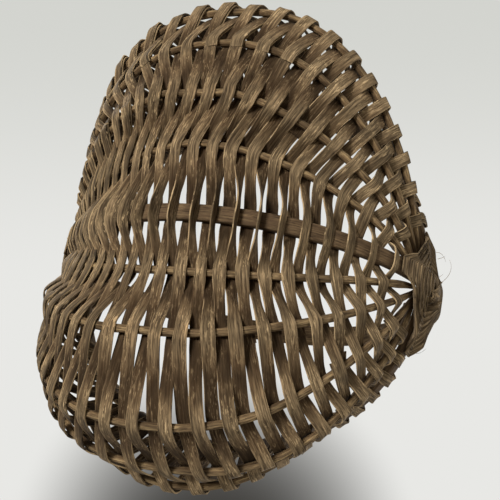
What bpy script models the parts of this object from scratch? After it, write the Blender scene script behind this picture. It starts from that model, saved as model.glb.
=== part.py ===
"""Ribbed oak splint basket with two lobes, one bent handle and lashed ears."""
import math

import bpy
import bmesh
import numpy as np

# Main sizes, in millimetres
ear_to_ear = 245.4
rim_half_width = {"front": 117.3, "back": 130.0}
ear_height = 131.1
handle_rise = 126.0
band_depth = 110.7
back_lobe_reach_over_front = 5.4

# Hoops: the rim stands on edge, the handle passes outside it at the ears
rim_tall = 11.0
rim_thick = 5.0
handle_thick = 5.0
handle_wide_top = 15.0
band_wide = 10.5
hoop_half_span = ear_to_ear / 2 + rim_thick / 2 + 1.2 + handle_thick / 2
band_sharpness = 1.2

# Ribs, counted from the centre band to the rim, one value per rib. The swell is how far
# a rib bulges toward the +X ear, where this basket is out of true
rib_radius = 2.2
rib_tip_radius = 1.25
rib_half_span = (119.2, 119.2, 119.2, 119.2, 113.7)
rib_fan_radius = 12.0
rib_taper_length = 26.0
ear_tilt = (75.0, 61.0, 47.0, 33.0, 15.0)
front_tilt = (71.4, 58.27, 40.0, 25.1, 17.1)
front_reach = (122.4, 150.0, 166.0, 158.3, 156.7)
back_tilt = (68.6, 60.88, 45.8, 35.2, 18.8)
back_reach = (122.3, 146.06, 162.6, 178.4, 164.5)
rib_fullness = (1.27, 1.11, 0.86, 0.78, 0.96)
rib_sharpness = (0.98, 1.08, 1.16, 1.03, 1.22)
front_swell = (0.0, 2.6, 5.0, 5.4, 1.7)
back_swell = (-1.1, -1.1, 2.8, 3.1, 1.0)
foot_run_drop = 3.4

# Weaving
row_count = 46
splint_wide = 7.6
splint_thick = 0.9
splint_clearance = 0.5
row_fill = 0.82
first_row_rim = 59.0
first_row_rib = 58.0
weaver_count = 24
tail_length = 7.0
splice_gap = 0.5
foot_half_length = 2.4
foot_reach = 27.0
middle_rows = (16, 31)

# How the rows crowd toward the ears and shift toward the +X ear on each curve,
# from the front rim over the five front ribs, the band and the back ribs to the back rim
row_crowding = (0.25, 0.30, 0.35, 0.19, 0.03, -0.08, 0.11, -0.05, -0.10, 0.12, 0.10, 0.10, 0.10)
row_shift = (0.05, 0.05, 0.06, 0.043, 0.026, 0.037, 0.078, 0.08, 0.02, 0.04, 0.016, 0.01, 0.01)

# Ear lashings
lashing_turns = 6
lashing_first = 10.2
lashing_pitch = {"bottom": 5.2, "front": 5.7, "top": 4.8, "back": 4.4}
lashing_fill = 0.88
lashing_roundness = 1.02

UP = np.array([0.0, 0.0, 1.0])
ACROSS = np.array([0.0, 1.0, 0.0])


def unit(v):
    return v / np.linalg.norm(v)


# Centre lines of the hoops and ribs, all from the +X ear to the -X ear

def ribLine(side, k, samples=1200):
    middle_tilt = (front_tilt, back_tilt)[side > 0][k]
    reach = (front_reach, back_reach)[side > 0][k]
    t = np.linspace(0.0, math.pi, samples)
    spread = np.minimum(1.0, 1.15 * np.sin(t))
    tilt = np.radians(ear_tilt[k] + (middle_tilt - ear_tilt[k]) * spread)
    along = rib_half_span[k] * np.sign(np.cos(t)) * np.abs(np.cos(t)) ** rib_fullness[k]
    swell = (front_swell, back_swell)[side > 0][k]
    along = along + np.where(t < math.pi / 2, swell * np.sin(2 * t) ** 2, 0.0)
    drop = foot_run_drop if k == 1 else 0.0
    out = rib_fan_radius + (reach + drop - rib_fan_radius) * np.sin(t) ** rib_sharpness[k]
    out = np.minimum(out, reach)
    return np.stack([along, side * out * np.cos(tilt), ear_height - out * np.sin(tilt)], 1)


def rimLine(side, samples=1200):
    t = np.linspace(0.0, math.pi, samples)
    reach = rim_half_width["back" if side > 0 else "front"]
    return np.stack([ear_to_ear / 2 * np.cos(t), side * reach * np.sin(t),
                     np.full(samples, ear_height)], 1)


def bandLine(samples=1200):
    t = np.linspace(0.0, math.pi, samples)
    return np.stack([hoop_half_span * np.cos(t), 0 * t,
                     ear_height - band_depth * np.sin(t) ** band_sharpness], 1)


def handleLine(samples=1200):
    t = np.linspace(0.0, math.pi, samples)
    return np.stack([hoop_half_span * np.cos(t), 0 * t,
                     ear_height + handle_rise * np.sin(t)], 1)


def lengths(line):
    step = np.linalg.norm(np.diff(line, axis=0), axis=1)
    return np.concatenate([[0.0], np.cumsum(step)])


def atLength(line, run, s):
    return np.array([np.interp(s, run, line[:, c]) for c in range(3)])


def lengthWhereOut(line, run, reach):
    """Run from the +X end to where the line is this far from the ear to ear axis."""
    away = np.hypot(line[:, 1], line[:, 2] - ear_height)
    half = len(line) // 2
    return float(np.interp(reach, away[:half], run[:half]))


# A sweep of any cross-section along frames, as one closed solid

def sweep(name, sections, material, closed=False, smooth=False):
    mesh = bpy.data.meshes.new(name)
    bm = bmesh.new()
    middle = ACROSS * back_lobe_reach_over_front / 2
    rings = [[bm.verts.new(tuple((p - middle) * 0.001)) for p in ring] for ring in sections]
    sides = len(rings[0])
    pairs = list(zip(rings, rings[1:]))
    if closed:
        pairs.append((rings[-1], rings[0]))
    for one, two in pairs:
        for i in range(sides):
            j = (i + 1) % sides
            bm.faces.new((one[i], one[j], two[j], two[i]))
    if not closed:
        bm.faces.new(list(reversed(rings[0])))
        bm.faces.new(rings[-1])
    bmesh.ops.recalc_face_normals(bm, faces=bm.faces[:])
    bm.to_mesh(mesh)
    bm.free()
    part = bpy.data.objects.new(name, mesh)
    bpy.context.scene.collection.objects.link(part)
    mesh.materials.append(material)
    for face in mesh.polygons:
        face.use_smooth = smooth
    return part


def wood(name, colour, roughness):
    m = bpy.data.materials.new(name)
    m.use_nodes = True
    shader = m.node_tree.nodes["Principled BSDF"]
    shader.inputs["Base Color"].default_value = (*colour, 1.0)
    shader.inputs["Roughness"].default_value = roughness
    shader.inputs["Metallic"].default_value = 0.0
    return m


def roundedRectangle(centre, wide_way, thick_way, wide, thick, corner):
    a, b, c = wide / 2, thick / 2, corner
    outline = ((a - c, b), (-a + c, b), (-a, b - c), (-a, -b + c),
               (-a + c, -b), (a - c, -b), (a, -b + c), (a, b - c))
    return [centre + wide_way * u + thick_way * v for u, v in outline]


def clearScene():
    for thing in list(bpy.data.objects):
        bpy.data.objects.remove(thing, do_unlink=True)
    for mesh in list(bpy.data.meshes):
        bpy.data.meshes.remove(mesh)


# Hoops

def makeRim(material, segments=60):
    rings = []
    for n in range(segments):
        t = 2 * math.pi * n / segments
        reach = rim_half_width["back" if n <= segments / 2 else "front"]
        centre = np.array([ear_to_ear / 2 * math.cos(t), reach * math.sin(t), ear_height])
        way = unit(np.array([-ear_to_ear / 2 * math.sin(t), reach * math.cos(t), 0.0]))
        outward = np.cross(way, UP)
        rings.append(roundedRectangle(centre, UP, outward, rim_tall, rim_thick, 1.2))
    return sweep("rim_hoop", rings, material, closed=True)


def makeHandle(material, upper=30, lower=50):
    rings = []
    top = handleLine()
    run = lengths(top)
    points = [atLength(top, run, s) for s in np.linspace(0, run[-1], upper + 1)]
    low = bandLine()
    low_run = lengths(low)
    points += [atLength(low, low_run, s) for s in np.linspace(low_run[-1], 0, lower + 1)][1:-1]
    for n, centre in enumerate(points):
        way = unit(points[(n + 1) % len(points)] - points[n - 1])
        outward = np.cross(way, ACROSS)
        outward = -outward if np.dot(outward, centre - np.array([0, 0, ear_height])) < 0 else outward
        lift = min(max((centre[2] - ear_height) / handle_rise, 0.0), 1.0)
        wide = band_wide + (handle_wide_top - band_wide) * lift ** 0.8
        rings.append(roundedRectangle(centre, ACROSS, outward, wide, handle_thick, 1.2))
    return sweep("handle_hoop", rings, material, closed=True)


# The crossings: curve 0 is the front rim, 1 to 5 the front ribs, 6 the band,
# 7 to 11 the back ribs and 12 the back rim

class Crossings:
    def __init__(self):
        self.lines = [rimLine(-1)] + [ribLine(-1, k) for k in (4, 3, 2, 1, 0)] + [bandLine()]
        self.lines += [ribLine(1, k) for k in (0, 1, 2, 3, 4)] + [rimLine(1)]
        self.runs = [lengths(line) for line in self.lines]
        self.rows = []
        self.bends = []
        for i, (line, run) in enumerate(zip(self.lines, self.runs)):
            reach = first_row_rim if i in (0, 6, 12) else first_row_rib
            start = lengthWhereOut(line, run, reach)
            self.rows.append(self.rowRuns(i, start, run[-1] - start))
            self.bends.append(self.bendRuns(i))
        self.poly = []
        for line, run, bends in zip(self.lines, self.runs, self.bends):
            self.poly.append(np.array([atLength(line, run, s) for s in bends]))

    def rowRuns(self, i, first, last):
        u = np.arange(row_count) / (row_count - 1)
        g = u - row_crowding[i] * np.sin(2 * math.pi * u) / (2 * math.pi)
        g = g - row_shift[i] * 4 * u * (1 - u)
        return first + (last - first) * g

    def bendRuns(self, i):
        rows, run = self.rows[i], self.runs[i]
        pitch = rows[1] - rows[0]
        start = rows[0] - pitch
        lead = [0.0, start * 0.35, start * 0.7]
        middle = [(rows[j] + rows[j + 1]) / 2 for j in range(1, row_count - 2, 2)]
        tail = [run[-1] - s for s in reversed(lead)]
        return np.array(lead + [start] + middle + [rows[-1] + pitch] + tail)

    def radius(self, i, s):
        end = min(s, self.runs[i][-1] - s)
        part = min(max(end / rib_taper_length, 0.0), 1.0)
        return rib_tip_radius + (rib_radius - rib_tip_radius) * part

    def station(self, i, j):
        """Point and direction of curve i where row j crosses it."""
        s = self.rows[i][j]
        if i in (0, 6, 12):
            line, run = self.lines[i], self.runs[i]
            here = atLength(line, run, s)
            return here, unit(atLength(line, run, s + 1) - atLength(line, run, s - 1))
        bends, poly = self.bends[i], self.poly[i]
        n = int(np.clip(np.searchsorted(bends, s) - 1, 0, len(bends) - 2))
        f = (s - bends[n]) / (bends[n + 1] - bends[n])
        return poly[n] * (1 - f) + poly[n + 1] * f, unit(poly[n + 1] - poly[n])


def makeRib(cross, i, name, material, sides=7):
    poly, bends = cross.poly[i], cross.bends[i]
    rings = []
    for n, centre in enumerate(poly):
        before = poly[max(n - 1, 0)]
        after = poly[min(n + 1, len(poly) - 1)]
        way = unit(after - before)
        inward = unit(np.array([0.0, 0.0, ear_height]) - centre)
        first = unit(inward - way * np.dot(inward, way))
        second = np.cross(way, first)
        r = cross.radius(i, bends[n])
        turn = [math.pi * (2 * m + 1) / sides for m in range(sides)]
        rings.append([centre + (first * math.cos(a) + second * math.sin(a)) * r for a in turn])
    return sweep(name, rings, material, smooth=True)


# Woven rows. Even rows pass inside even curves, odd rows inside odd curves.

def isOutside(i, j):
    return (i + j) % 2 == 1


def rowLayout(cross):
    """For every row and curve: the crossing points, normals, widths and offsets."""
    here = np.zeros((row_count, 13, 3))
    way = np.zeros((row_count, 13, 3))
    for j in range(row_count):
        for i in range(13):
            here[j, i], way[j, i] = cross.station(i, j)
    outward = np.zeros_like(here)
    wide = np.zeros((row_count, 13))
    size = np.zeros((row_count, 13))
    for j in range(row_count):
        for i in range(13):
            on = here[j, min(i + 1, 12)] - here[j, max(i - 1, 0)]
            if i in (0, 12):
                outward[j, i] = unit(np.array([way[j, i][1], -way[j, i][0], 0.0]))
                if np.dot(outward[j, i], here[j, i] * np.array([1, 1, 0])) < 0:
                    outward[j, i] = -outward[j, i]
                size[j, i] = rim_thick / 2
            elif i == 6:
                outward[j, i] = unit(np.cross(way[j, i], ACROSS))
                size[j, i] = handle_thick / 2
            else:
                outward[j, i] = unit(np.cross(way[j, i], on))
                size[j, i] = cross.radius(i, cross.rows[i][j])
            near = [abs(cross.rows[i][n] - cross.rows[i][j]) for n in (j - 1, j + 1)
                    if 0 <= n < row_count]
            square = np.linalg.norm(np.cross(unit(on), way[j, i]))
            wide[j, i] = min(splint_wide / square, row_fill * min(near))
    return here, way, outward, wide, size


def isFoot(here, i, j):
    return i in (4, 8) and isOutside(i, j) and abs(here[j, i][0]) < foot_reach


def settle(here, outward, size):
    """Offsets from the curves, larger where a splint leaves its rib steeply."""
    base = size + splint_clearance + splint_thick / 2
    sign = np.array([[1.0 if isOutside(i, j) else -1.0 for i in range(13)]
                     for j in range(row_count)])
    off = base.copy()
    for _ in range(3):
        spots = here + outward * (off * sign)[..., None]
        for j in range(row_count):
            for i in range(1, 12):
                if i == 6:
                    continue
                worst = 0.0
                for n in (i - 1, i + 1):
                    leave = unit(spots[j, n] - spots[j, i])
                    worst = max(worst, -sign[j, i] * np.dot(leave, outward[j, i]))
                lean = min(math.asin(min(worst, 0.8)), 0.75)
                off[j, i] = base[j, i] / math.cos(lean)
    return off * sign


def splintPoints(layout, offs, j, i, extra=0.0):
    """The bends of row j at curve i, listed from front to back."""
    here, way, outward, wide, size = layout
    n = outward[j, i]
    off = offs[j, i] + extra
    w = wide[j, i]
    spot = here[j, i]
    if i == 6:
        half = band_wide / 2
        return [(spot + n * off - ACROSS * half, way[j, i], w),
                (spot + n * off + ACROSS * half, way[j, i], w)]
    if i in (0, 12):
        return [(spot + n * off - UP * (rim_tall / 2 - 0.4), way[j, i], w)]
    if isFoot(here, i, j):
        down = np.array([spot[0], spot[1], splint_thick / 2])
        step = ACROSS * foot_half_length
        level = unit(np.array([way[j, i][0], way[j, i][1], 0.0]))
        return [(down - step, level, w), (down + step, level, w)]
    return [(spot + n * off, way[j, i], w)]


def turnPoints(layout, offs, j_from, j_to, i):
    """Over the top of the rim, from one row to the next."""
    here, way, outward, wide, size = layout
    rise = UP * (rim_tall / 2 + splint_clearance + splint_thick / 2)
    points = []
    for share, j in ((0.25, j_from), (0.75, j_to)):
        spot = here[j_from, i] * (1 - share) + here[j_to, i] * share
        n = unit(outward[j_from, i] + outward[j_to, i])
        along = unit(here[j_to, i] - here[j_from, i]) * np.sign(j_to - j_from)
        points.append((spot + n * offs[j, i] + rise, along, min(wide[j_from, i], wide[j_to, i])))
    return points


def strip(points, thick):
    """Rectangular sections of a flat splint along its bends, thickness kept at the bends."""
    spots = np.array([p[0] for p in points])
    rings = []
    for n, (spot, side_way, wide) in enumerate(points):
        back = unit(spots[n] - spots[n - 1]) if n > 0 else None
        on = unit(spots[n + 1] - spots[n]) if n < len(points) - 1 else None
        back = on if back is None else back
        on = back if on is None else on
        way = unit(back + on)
        flat = unit(np.cross(way, side_way))
        across = side_way
        half_turn = math.acos(min(max(np.dot(back, on), -1.0), 1.0)) / 2
        t = thick / 2 / max(math.cos(half_turn), 0.6)
        w = wide / 2
        rings.append([spot + across * w + flat * t, spot - across * w + flat * t,
                      spot - across * w - flat * t, spot + across * w - flat * t])
    return rings


def spliceStations():
    """Stations where one splint ends and the next begins, spread over the basket."""
    total = row_count * 13
    marks = []
    for n in range(1, weaver_count):
        g = round(total * n / weaver_count) + (n * 5) % 7 - 4
        j, m = divmod(g, 13)
        m = min(max(m, 2), 9)
        if m in (5, 6):
            m = 4
        if middle_rows[0] <= j <= middle_rows[1] and m in (3, 4, 7, 8):
            m = 2 if m < 6 else 9
        marks.append(j * 13 + m)
    return marks


class Weaving:
    """Every splint's bends, with the overlaps where one splint follows another."""

    def __init__(self, cross):
        self.layout = rowLayout(cross)
        here, way, outward, wide, size = self.layout
        self.offs = settle(here, outward, size)
        self.base = size + splint_clearance + splint_thick / 2
        marks = spliceStations()
        self.starts = [0] + marks
        self.ends = [m + 1 for m in marks] + [row_count * 13 - 1]

    def place(self, g):
        j, m = divmod(g, 13)
        return j, (m if j % 2 == 0 else 12 - m), m

    def bends(self, number, g):
        """The bends of one splint at one station, in the order that it runs."""
        j, i, m = self.place(g)
        first, last = self.starts[number], self.ends[number]
        step = (splint_thick + splice_gap) * abs(self.offs[j, i]) / self.base[j, i]
        extra = 0.0
        if number > 0 and g in (first, first + 1) and isOutside(i, j):
            extra = step
        if number < weaver_count - 1 and g in (last - 1, last) and not isOutside(i, j):
            extra = -step
        points = splintPoints(self.layout, self.offs, j, i, extra)
        return points if j % 2 == 0 else list(reversed(points))

    def tail(self, number, g, beyond, point):
        """A cut end, laid along the splint that it overlaps, or up the face of the rim."""
        spot, side_way, wide = point
        j, i, m = self.place(g)
        if m in (0, 12):
            return (spot + UP * tail_length, side_way, wide)
        near = self.bends(number + beyond, g)[0 if beyond < 0 else -1][0]
        far = self.bends(number + beyond, g + beyond)[-1 if beyond < 0 else 0][0]
        return (spot + unit(far - near) * tail_length, side_way, wide)

    def splint(self, number):
        points = []
        first, last = self.starts[number], self.ends[number]
        for g in range(first, last + 1):
            j, i, m = self.place(g)
            points += self.bends(number, g)
            if m == 12 and g < last:
                points += turnPoints(self.layout, self.offs, j, j + 1, i)
        start = self.tail(number, first, -1, points[0])
        end = self.tail(number, last, 1, points[-1])
        return [start] + points + [end]


def makeWeavers(cross, material):
    weaving = Weaving(cross)
    for number in range(weaver_count):
        rings = strip(weaving.splint(number), splint_thick)
        sweep(f"weaver_{number + 1:02d}", rings, material)


# Ear lashings: one long splint wound round the four arms of the crossing

def lashingArm(kind, side, s):
    """Centre, direction and outward normal of an arm at this distance from the crossing."""
    if kind in ("front", "back"):
        line = rimLine(-1 if kind == "front" else 1)
        away = np.abs(line[:, 1])
    else:
        line = handleLine() if kind == "top" else bandLine()
        away = np.abs(line[:, 2] - ear_height)
    half = len(line) // 2
    spot = np.array([np.interp(s, away[:half], line[:half, c]) for c in range(3)])
    nearer = np.array([np.interp(max(s - 1, 0.0), away[:half], line[:half, c]) for c in range(3)])
    way = unit(spot - nearer)
    if kind in ("front", "back"):
        outward = np.array([abs(way[1]), -way[0] * np.sign(way[1]), 0.0])
    else:
        outward = np.array([abs(way[2]), 0.0, -way[0] * np.sign(way[2])])
    mirror = np.array([side, 1.0, 1.0])
    return spot * mirror, way * mirror, unit(outward) * mirror


def armHalf(kind, s):
    """Half the width and half the thickness of an arm at this distance from the crossing."""
    if kind in ("front", "back"):
        return rim_tall / 2, rim_thick / 2
    lift = min(s / handle_rise, 1.0) if kind == "top" else 0.0
    wide = band_wide + (handle_wide_top - band_wide) * lift ** 0.8
    return wide / 2, handle_thick / 2


def lashingPath(side, cross):
    """Points along the splint, five to each quarter turn, and one turn more than it has."""
    order = ("bottom", "front", "top", "back")
    lean = {"bottom": -UP, "front": -ACROSS, "top": UP, "back": ACROSS}
    clear = splint_clearance + splint_thick / 2
    points = []
    for q in range(lashing_turns * 4 + 5):
        kind, following = order[q % 4], order[(q + 1) % 4]
        s = lashing_first + lashing_pitch[kind] * q / 4
        s_next = lashing_first + lashing_pitch[following] * (q + 1) / 4
        spot, way, outward = lashingArm(kind, side, s)
        nxt = lashingArm(following, side, s_next)[0]
        came, goes = lean[order[(q - 1) % 4]], lean[following]
        half, thick = armHalf(kind, s)
        half_next = armHalf(following, s_next)[0]
        face = spot + outward * (thick + clear)
        points += [face + came * half, face + goes * half]
        for share in (0.25, 0.5, 0.75):
            turn = share * math.pi / 2
            along = half_next + (s - half_next) * math.cos(turn) ** (2 / lashing_roundness)
            beside = half + (s_next - half) * math.sin(turn) ** (2 / lashing_roundness)
            flat = lean[kind] * along + goes * beside
            reach = math.hypot(along, beside)
            chord = abs(spot[0]) * (1 - share) + abs(nxt[0]) * share + thick + clear
            ends = [ribSide(cross, i, reach) for i in range(1, 12) if i != 6]
            need = max(ends) + rib_radius + clear
            level = hoop_half_span + thick + clear + 0.2 if reach < band_wide + 1 else 0.0
            x = side * max(chord + 0.8, need + 0.8 + 0.05 * reach, level)
            points.append(np.array([x, 0.0, ear_height]) + flat)
    return points


def makeLashing(side, name, cross, material):
    path = lashingPath(side, cross)
    points = []
    for n in range(lashing_turns * 20 + 2):
        beside = path[n + 20] - path[n]
        if n % 5 > 1:
            along = unit(path[n + 1] - path[n - 1])
            beside = beside - along * np.dot(beside, along)
        points.append((path[n], unit(beside), lashing_fill * np.linalg.norm(beside)))
    return sweep(name, strip(points, splint_thick), material)


def ribSide(cross, i, reach):
    line, run = cross.lines[i], cross.runs[i]
    return atLength(line, run, lengthWhereOut(line, run, reach))[0]


def main():
    clearScene()
    hoop_oak = wood("oak_hoop", (0.115, 0.075, 0.045), 0.6)
    rib_oak = wood("oak_rib", (0.135, 0.088, 0.052), 0.65)
    splint_oak = wood("oak_splint", (0.125, 0.085, 0.052), 0.62)
    lashing_oak = wood("oak_lashing", (0.095, 0.064, 0.040), 0.62)
    cross = Crossings()
    makeRim(hoop_oak)
    makeHandle(hoop_oak)
    for k, i in enumerate((5, 4, 3, 2, 1), 1):
        makeRib(cross, i, f"rib_front_{k}", rib_oak)
    for k, i in enumerate((7, 8, 9, 10, 11), 1):
        makeRib(cross, i, f"rib_back_{k}", rib_oak)
    makeWeavers(cross, splint_oak)
    makeLashing(-1, "ear_lashing_left", cross, lashing_oak)
    makeLashing(1, "ear_lashing_right", cross, lashing_oak)


main()
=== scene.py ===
import math
import bpy
import numpy as np
from mathutils import Matrix, Vector


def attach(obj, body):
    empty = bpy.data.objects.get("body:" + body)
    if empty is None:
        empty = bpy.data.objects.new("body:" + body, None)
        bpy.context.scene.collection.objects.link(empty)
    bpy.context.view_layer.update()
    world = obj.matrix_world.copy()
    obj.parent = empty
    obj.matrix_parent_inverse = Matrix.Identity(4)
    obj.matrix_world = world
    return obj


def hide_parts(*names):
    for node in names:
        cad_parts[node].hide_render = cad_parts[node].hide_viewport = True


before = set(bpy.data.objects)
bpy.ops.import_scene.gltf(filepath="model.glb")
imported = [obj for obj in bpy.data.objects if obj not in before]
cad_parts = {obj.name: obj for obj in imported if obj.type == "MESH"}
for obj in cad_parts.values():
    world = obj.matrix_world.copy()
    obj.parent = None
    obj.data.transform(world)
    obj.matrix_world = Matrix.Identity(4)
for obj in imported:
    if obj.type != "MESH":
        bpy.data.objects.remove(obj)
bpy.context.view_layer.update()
print("basket frame loaded")

up = np.array([0.0, 0.0, 1.0])
across = np.array([0.0, 1.0, 0.0])

# Sizes of the basket, in millimetres
shape = {
    "earToEar": 245.4, "rimFront": 117.3, "rimBack": 130.0, "earHeight": 131.1, "handleRise": 126.0,
    "bandDepth": 110.7, "bandSharpness": 1.2, "bandWide": 10.5, "backReachOverFront": 5.4,
    "rimTall": 11.0, "rimThick": 5.0, "handleThick": 5.0, "handleWideTop": 15.0, "hoopHalfSpan": 128.9,
    "handleWidening": 0.8,                              # the power by which it widens towards the grip
}
rods = {
    "radius": 2.2, "tipRadius": 1.25, "halfSpan": (119.2, 119.2, 119.2, 119.2, 113.7),
    "fanRadius": 12.0, "taperLength": 26.0, "footRunDrop": 3.4,
    "turnsSoon": 1.15,                                  # how soon each reaches its middle tilt
    "earTilt": (75.0, 61.0, 47.0, 33.0, 15.0),
    "frontTilt": (71.4, 58.27, 40.0, 25.1, 17.1), "frontReach": (122.4, 150.0, 166.0, 158.3, 156.7),
    "backTilt": (68.6, 60.88, 45.8, 35.2, 18.8), "backReach": (122.3, 146.06, 162.6, 178.4, 164.5),
    "frontSwell": (0.0, 2.6, 5.0, 5.4, 1.7), "backSwell": (-1.1, -1.1, 2.8, 3.1, 1.0),
    "fullness": (1.27, 1.11, 0.86, 0.78, 0.96), "sharpness": (0.98, 1.08, 1.16, 1.03, 1.22),
}
weave = {
    "rows": 46, "thick": 0.9, "clearance": 0.5, "firstRowRim": 59.0, "firstRowRib": 58.0,
    "splints": 24, "tail": 7.0, "spliceGap": 0.5,
    "footHalfLength": 2.4, "footReach": 27.0, "middleRows": (16, 31),
    "crowding": (0.25, 0.30, 0.35, 0.19, 0.03, -0.08, 0.11, -0.05, -0.10, 0.12, 0.10, 0.10, 0.10),
    "shift": (0.05, 0.05, 0.06, 0.043, 0.026, 0.037, 0.078, 0.08, 0.02, 0.04, 0.016, 0.01, 0.01),
    "earRows": 13.0, "earRowsRise": 9,                  # how much nearer the last rows come to the -X ear
    "wide": 7.7, "rimOverlap": 1.12,                    # width of a splint against the space of its row
    "overlapPlaces": (-100.0, -60.0, 60.0, 100.0), "overlaps": (1.7, 1.34, 1.34, 1.5),
    "closeness": 0.95,                                  # how much of its row a twisted splint takes
    "narrowing": 0.8,                                   # where it can't turn so far it is slimmer
    "slatPlaces": (-60.0, 0.0, 40.0, 100.0), "slats": (1.0, 0.6, 0.12, 0.05), "slatSwell": 1.3,
    # How far the rows wander from their even places, all along and at each curve, less near the ears
    "stray": 0.8, "strays": (0.6, 0.5), "strayKnots": 30, "strayFade": 6,
    # Degrees that the splints lean where they pass the band, at these X
    "bandPlaces": (-115.0, -85.0, -62.0, -50.0, 0.0, 30.0, 55.0, 75.0, 95.0),
    "bandTwists": (26.0, 32.0, 44.0, 84.0, 81.0, 68.0, 48.0, 8.0, -12.0),
    "leanHold": 0.15,                                   # they keep it for this part of the way on
    "wearReach": 26.0,                                  # how far from the rods the outer face is rubbed
    "rimWear": 0.7, "aboveRimEdge": 0.4,
    "mostLean": 0.75,                                   # radians, where a splint leaves its rod
}


def unit(v):
    return v / np.linalg.norm(v)


def unitRows(v):
    return v / np.linalg.norm(v, axis=1)[:, None]


# Gentle random wander along a piece, the same on every run
def smoothNoise(seed, count, knots, size=1.0):
    rng = np.random.default_rng(seed)
    spots = np.linspace(0, count - 1, knots)
    values = rng.uniform(-1, 1, knots)
    t = np.arange(count)
    k = np.clip(np.searchsorted(spots, t, side="right") - 1, 0, knots - 2)
    f = (t - spots[k]) / (spots[k + 1] - spots[k])
    f = f * f * (3 - 2 * f)
    return (values[k] * (1 - f) + values[k + 1] * f) * size


# Centre lines of the hoops and rods, from the +X ear to the -X ear

def rodLine(side, k, samples=1200):
    middleTilt = (rods["frontTilt"], rods["backTilt"])[side > 0][k]
    reach = (rods["frontReach"], rods["backReach"])[side > 0][k]
    t = np.linspace(0.0, math.pi, samples)
    spread = np.minimum(1.0, rods["turnsSoon"] * np.sin(t))
    tilt = np.radians(rods["earTilt"][k] + (middleTilt - rods["earTilt"][k]) * spread)
    along = rods["halfSpan"][k] * np.sign(np.cos(t)) * np.abs(np.cos(t)) ** rods["fullness"][k]
    swell = (rods["frontSwell"], rods["backSwell"])[side > 0][k]
    along = along + np.where(t < math.pi / 2, swell * np.sin(2 * t) ** 2, 0.0)
    drop = rods["footRunDrop"] if k == 1 else 0.0
    fan = rods["fanRadius"]
    out = fan + (reach + drop - fan) * np.sin(t) ** rods["sharpness"][k]
    out = np.minimum(out, reach)
    return np.stack([along, side * out * np.cos(tilt), shape["earHeight"] - out * np.sin(tilt)], 1)


def rimLine(side, samples=1200):
    t = np.linspace(0.0, math.pi, samples)
    reach = shape["rimBack" if side > 0 else "rimFront"]
    return np.stack([shape["earToEar"] / 2 * np.cos(t), side * reach * np.sin(t),
                     np.full(samples, shape["earHeight"])], 1)


def bandLine(samples=1200):
    t = np.linspace(0.0, math.pi, samples)
    drop = shape["bandDepth"] * np.sin(t) ** shape["bandSharpness"]
    return np.stack([shape["hoopHalfSpan"] * np.cos(t), 0 * t, shape["earHeight"] - drop], 1)


def handleLine(samples=1200):
    t = np.linspace(0.0, math.pi, samples)
    rise = shape["handleRise"] * np.sin(t)
    return np.stack([shape["hoopHalfSpan"] * np.cos(t), 0 * t, shape["earHeight"] + rise], 1)


# Width of the handle, from the ears, 0, to its top, 1
def handleWideAt(lift):
    return shape["bandWide"] + (shape["handleWideTop"] - shape["bandWide"]) * lift ** shape["handleWidening"]


def lengths(line):
    step = np.linalg.norm(np.diff(line, axis=0), axis=1)
    return np.concatenate([[0.0], np.cumsum(step)])


def atLength(line, run, s):
    return np.array([np.interp(s, run, line[:, c]) for c in range(3)])


def lengthWhereOut(line, run, reach):
    away = np.hypot(line[:, 1], line[:, 2] - shape["earHeight"])
    half = len(line) // 2
    return float(np.interp(reach, away[:half], run[:half]))


# Curve 0 is the front rim, 1 to 5 the front rods, 6 the band, 7 to 11 the back rods, 12 the back rim
lines = [rimLine(-1)] + [rodLine(-1, k) for k in (4, 3, 2, 1, 0)] + [bandLine()]
lines += [rodLine(1, k) for k in (0, 1, 2, 3, 4)] + [rimLine(1)]
runs = [lengths(line) for line in lines]
flatCurves = (0, 6, 12)


def rowRuns(i):
    reach = weave["firstRowRim"] if i in flatCurves else weave["firstRowRib"]
    first = lengthWhereOut(lines[i], runs[i], reach)
    last = runs[i][-1] - first
    u = np.arange(weave["rows"]) / (weave["rows"] - 1)
    g = u - weave["crowding"][i] * np.sin(2 * math.pi * u) / (2 * math.pi)
    g = g - weave["shift"][i] * 4 * u * (1 - u)
    count, knots = weave["rows"], weave["strayKnots"]
    together, each = weave["strays"]
    stray = smoothNoise(40, count, knots, together) + smoothNoise(41 + i, count, knots, each)
    stray = stray * weave["stray"] * np.minimum(1.0, weave["strayFade"] * u * (1 - u))
    return first + (last - first) * g + weave["earRows"] * u ** weave["earRowsRise"] + stray


rowsOn = [rowRuns(i) for i in range(13)]


def rodRadius(i, s):
    end = min(s, runs[i][-1] - s)
    part = min(max(end / rods["taperLength"], 0.0), 1.0)
    return rods["tipRadius"] + (rods["radius"] - rods["tipRadius"]) * part


def isOutside(i, j):
    return (i + j) % 2 == 1


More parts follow.
